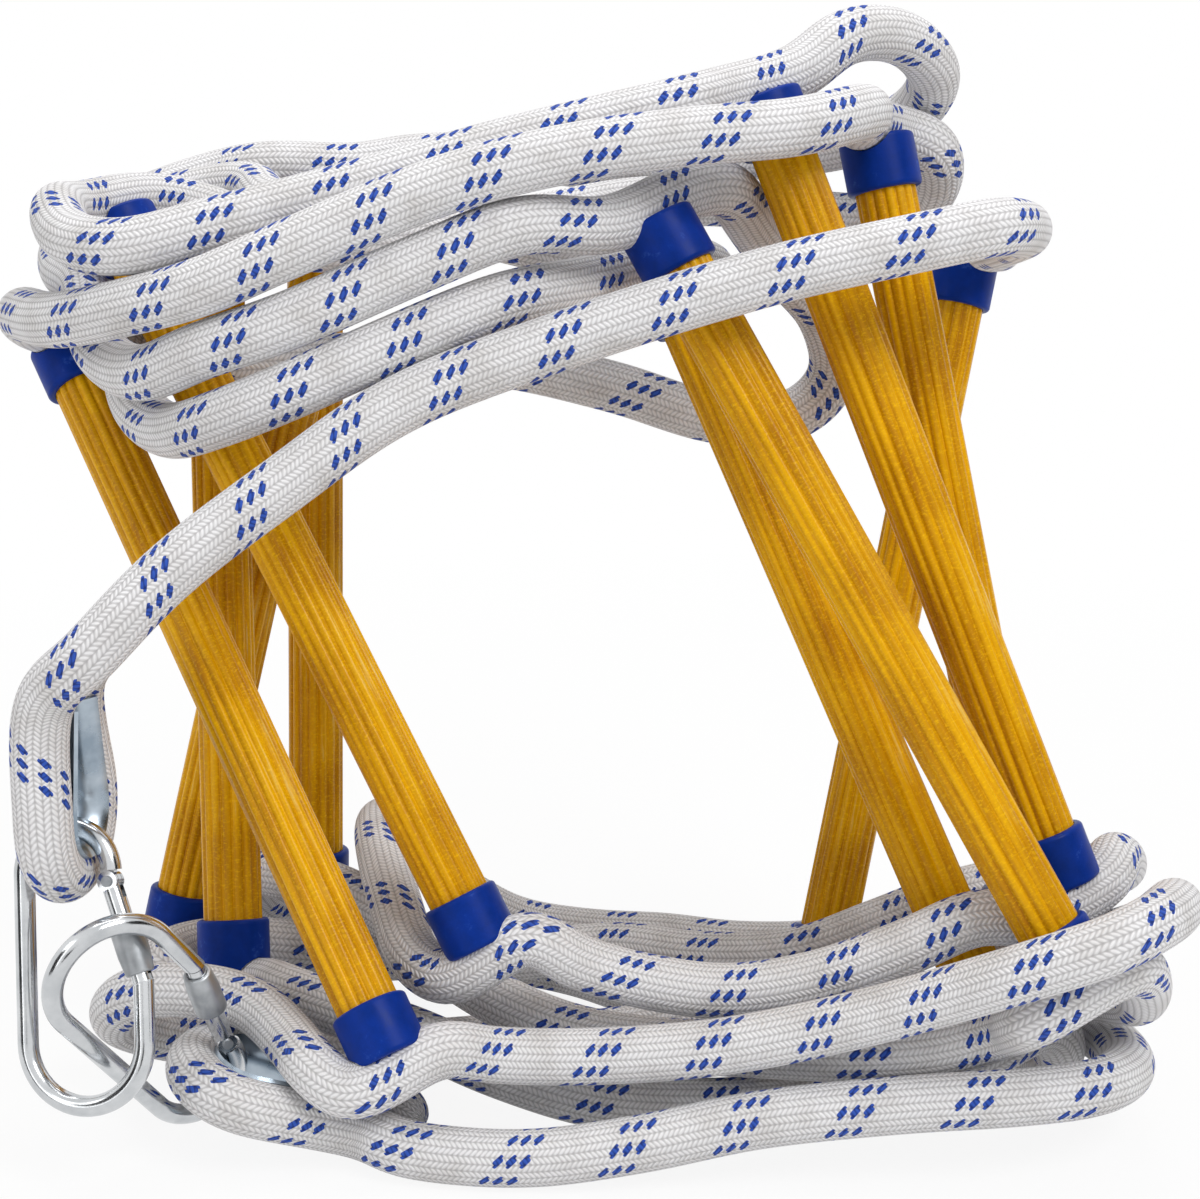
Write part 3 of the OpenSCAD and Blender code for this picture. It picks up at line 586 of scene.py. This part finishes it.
def zincMaterial(name):
    s, patch = zincSets[name], patchSet
    material, tree, shader = newMaterial(name)
    place = addNode(tree, "ShaderNodeTexCoord", {}, {}).outputs["Object"]
    cloud = addNode(tree, "ShaderNodeTexNoise", {}, {"Vector": place, "Scale": patch["scale"], "Detail": 4.0})
    grain = addNode(tree, "ShaderNodeTexNoise", {},
                    {"Vector": place, "Scale": 1 / (s["grain"] * mm), "Detail": 2.0})
    colour = setRamp(addNode(tree, "ShaderNodeValToRGB", {}, {"Fac": cloud}),
                     [(patch["darkTo"], s["dark"]), (patch["lightFrom"], s["light"])])
    shine = addNode(tree, "ShaderNodeMapRange", {}, {0: cloud, **spread(patch["roughFrom"] + s["rough"])})
    bump = addNode(tree, "ShaderNodeBump", {},
                   {"Strength": patch["bump"], "Distance": patch["bumpHeight"], "Height": grain})
    tree.links.new(colour.outputs[0], shader.inputs["Base Color"])
    tree.links.new(shine.outputs[0], shader.inputs["Roughness"])
    tree.links.new(bump.outputs["Normal"], shader.inputs["Normal"])
    shader.inputs["Metallic"].default_value = 1.0
    return material


braid = braidMaterial()
capPlastic, core = capMaterial(), coreMaterial()
hookZinc, sleeveZinc, thimbleZinc = (zincMaterial(name) for name in zincSets)
resin = []
for number, (low, high) in enumerate(rungSeats, start=1):
    low, high = Vector(low), Vector(high)
    middle = ((low + high) / 2 + bundleOffset) * mm
    lean = (high - low).to_track_quat("Z", "Y").to_euler()
    resin.append(resinMaterial(f"glassFibreResin{number}", middle, lean))


def finishOf(name):
    if "tube" in name:
        return resin[int(name.rsplit("_", 1)[1]) - 1]
    kinds = (("cap", capPlastic), ("core", core), ("thimble", thimbleZinc), ("sleeve", sleeveZinc),
             ("rivet", sleeveZinc), ("", hookZinc))
    return next(material for word, material in kinds if word in name)


for rope in sideRopes.values():
    rope.data.materials.append(braid)
for sleeve in sleeves:
    sleeve.data.materials.append(sleeveZinc)
for name, node in nodes.items():
    node.data.materials.clear()
    node.data.materials.append(finishOf(name))
print("materials set")


# floor and lamps; the floor stays white to the eye and keeps a soft shadow
# near and far are metres from the middle; ownLight is the paper's share of plain white near the ladder
stageSet = {
    "floor": 400.0, "drop": 0.5 * mm, "paper": "#F2F2F2", "roughness": 0.9, "specular": 0.1,
    "ownLight": 0.9, "near": 0.3, "far": 1.0, "air": 0.42,
}


def paperMaterial():
    s = stageSet
    material, tree, shader = newMaterial("studioPaper")
    shader.inputs["Base Color"].default_value = paint(s["paper"])
    shader.inputs["Roughness"].default_value = s["roughness"]
    shader.inputs["Specular IOR Level"].default_value = s["specular"]
    glow = addNode(tree, "ShaderNodeEmission", {}, {"Color": (1, 1, 1, 1), "Strength": 1.0})
    rays = addNode(tree, "ShaderNodeLightPath", {}, {})
    seen = addNode(tree, mathNode, {"operation": "MAXIMUM"},
                   {0: rays.outputs["Is Camera Ray"], 1: rays.outputs["Is Glossy Ray"]})
    # the shadow lies only near the ladder, and the sheet turns plain white further off
    place = addNode(tree, "ShaderNodeTexCoord", {}, {}).outputs["Object"]
    away = addNode(tree, "ShaderNodeVectorMath", {"operation": "LENGTH"}, {0: place}).outputs["Value"]
    plain = addNode(tree, "ShaderNodeMapRange", {},
                    {0: away, 1: s["near"], 2: s["far"], 3: s["ownLight"], 4: 1.0})
    share = addNode(tree, mathNode, {"operation": "MULTIPLY"}, {0: seen, 1: plain})
    mix = addNode(tree, "ShaderNodeMixShader", {}, {0: share, 1: shader.outputs[0], 2: glow})
    tree.links.new(mix.outputs[0], tree.nodes["Material Output"].inputs["Surface"])
    return material


def stageSheet(name, size, place, turn, material):
    bpy.ops.object.select_all(action="DESELECT")
    bpy.ops.mesh.primitive_plane_add(size=size, location=place, rotation=turn)
    sheet = bpy.context.object
    sheet.name = name
    sheet.data.materials.append(material)
    return sheet


stageSheet("floor", stageSet["floor"], (0, 0, -stageSet["drop"]), (0, 0, 0), paperMaterial())

# dark flags, seen only in the metal, give the bright wire its dark lines
flagSet = {
    "cloth": "#141618", "aim": (-0.15, 0, 0.15),
    "flags": [
        {"name": "flagLeft", "size": 1.0, "place": (-1.5, -0.9, 0.5)},
        {"name": "flagRight", "size": 0.8, "place": (1.3, -0.5, 0.6)},
        {"name": "flagFront", "size": 0.5, "place": (-0.3, -1.8, 0.15)},
    ],
}
flagCloth, _, flagShader = newMaterial("blackFlagCloth")
flagShader.inputs["Base Color"].default_value = paint(flagSet["cloth"])
flagShader.inputs["Roughness"].default_value = 1.0
flagShader.inputs["Specular IOR Level"].default_value = 0.0
for entry in flagSet["flags"]:
    turn = (Vector(flagSet["aim"]) - Vector(entry["place"])).to_track_quat("Z", "Y").to_euler()
    flag = stageSheet(entry["name"], entry["size"], entry["place"], turn, flagCloth)
    flag.visible_camera = flag.visible_diffuse = flag.visible_shadow = flag.visible_transmission = False

world = bpy.data.worlds.new("studioAir")
bpy.context.scene.world = world
world.use_nodes = True
worldTree = world.node_tree
backing = worldTree.nodes["Background"]
backing.inputs["Color"].default_value = (1, 1, 1, 1)
rays = addNode(worldTree, "ShaderNodeLightPath", {}, {})
seen = addNode(worldTree, mathNode, {"operation": "MAXIMUM"},
               {0: rays.outputs["Is Camera Ray"], 1: rays.outputs["Is Glossy Ray"]})
shown = addNode(worldTree, "ShaderNodeMapRange", {}, {0: seen, 3: stageSet["air"], 4: 1.0})
worldTree.links.new(shown.outputs[0], backing.inputs["Strength"])

# a key from the front right, a wide weak fill from the left and a broad lamp overhead, all aimed at one spot
lampSet = {
    "aim": (0, 0, 0.2),
    "lamps": [
        {"name": "keyLamp", "place": (1.0, -1.2, 1.7), "size": 0.9, "power": 23.0},
        {"name": "fillLamp", "place": (-1.5, -1.1, 0.9), "size": 1.4, "power": 9.0},
        {"name": "topLamp", "place": (-0.1, 0.3, 1.9), "size": 1.2, "power": 15.0},
    ],
}
for lamp in lampSet["lamps"]:
    data = bpy.data.lights.new(lamp["name"], "AREA")
    data.size = lamp["size"]
    data.energy = lamp["power"]
    light = bpy.data.objects.new(lamp["name"], data)
    bpy.context.scene.collection.objects.link(light)
    light.location = lamp["place"]
    aim = Vector(lampSet["aim"]) - Vector(lamp["place"])
    light.rotation_euler = aim.to_track_quat("-Z", "Y").to_euler()
bpy.context.scene.view_settings.view_transform = "Standard"
print("stage and lamps set")
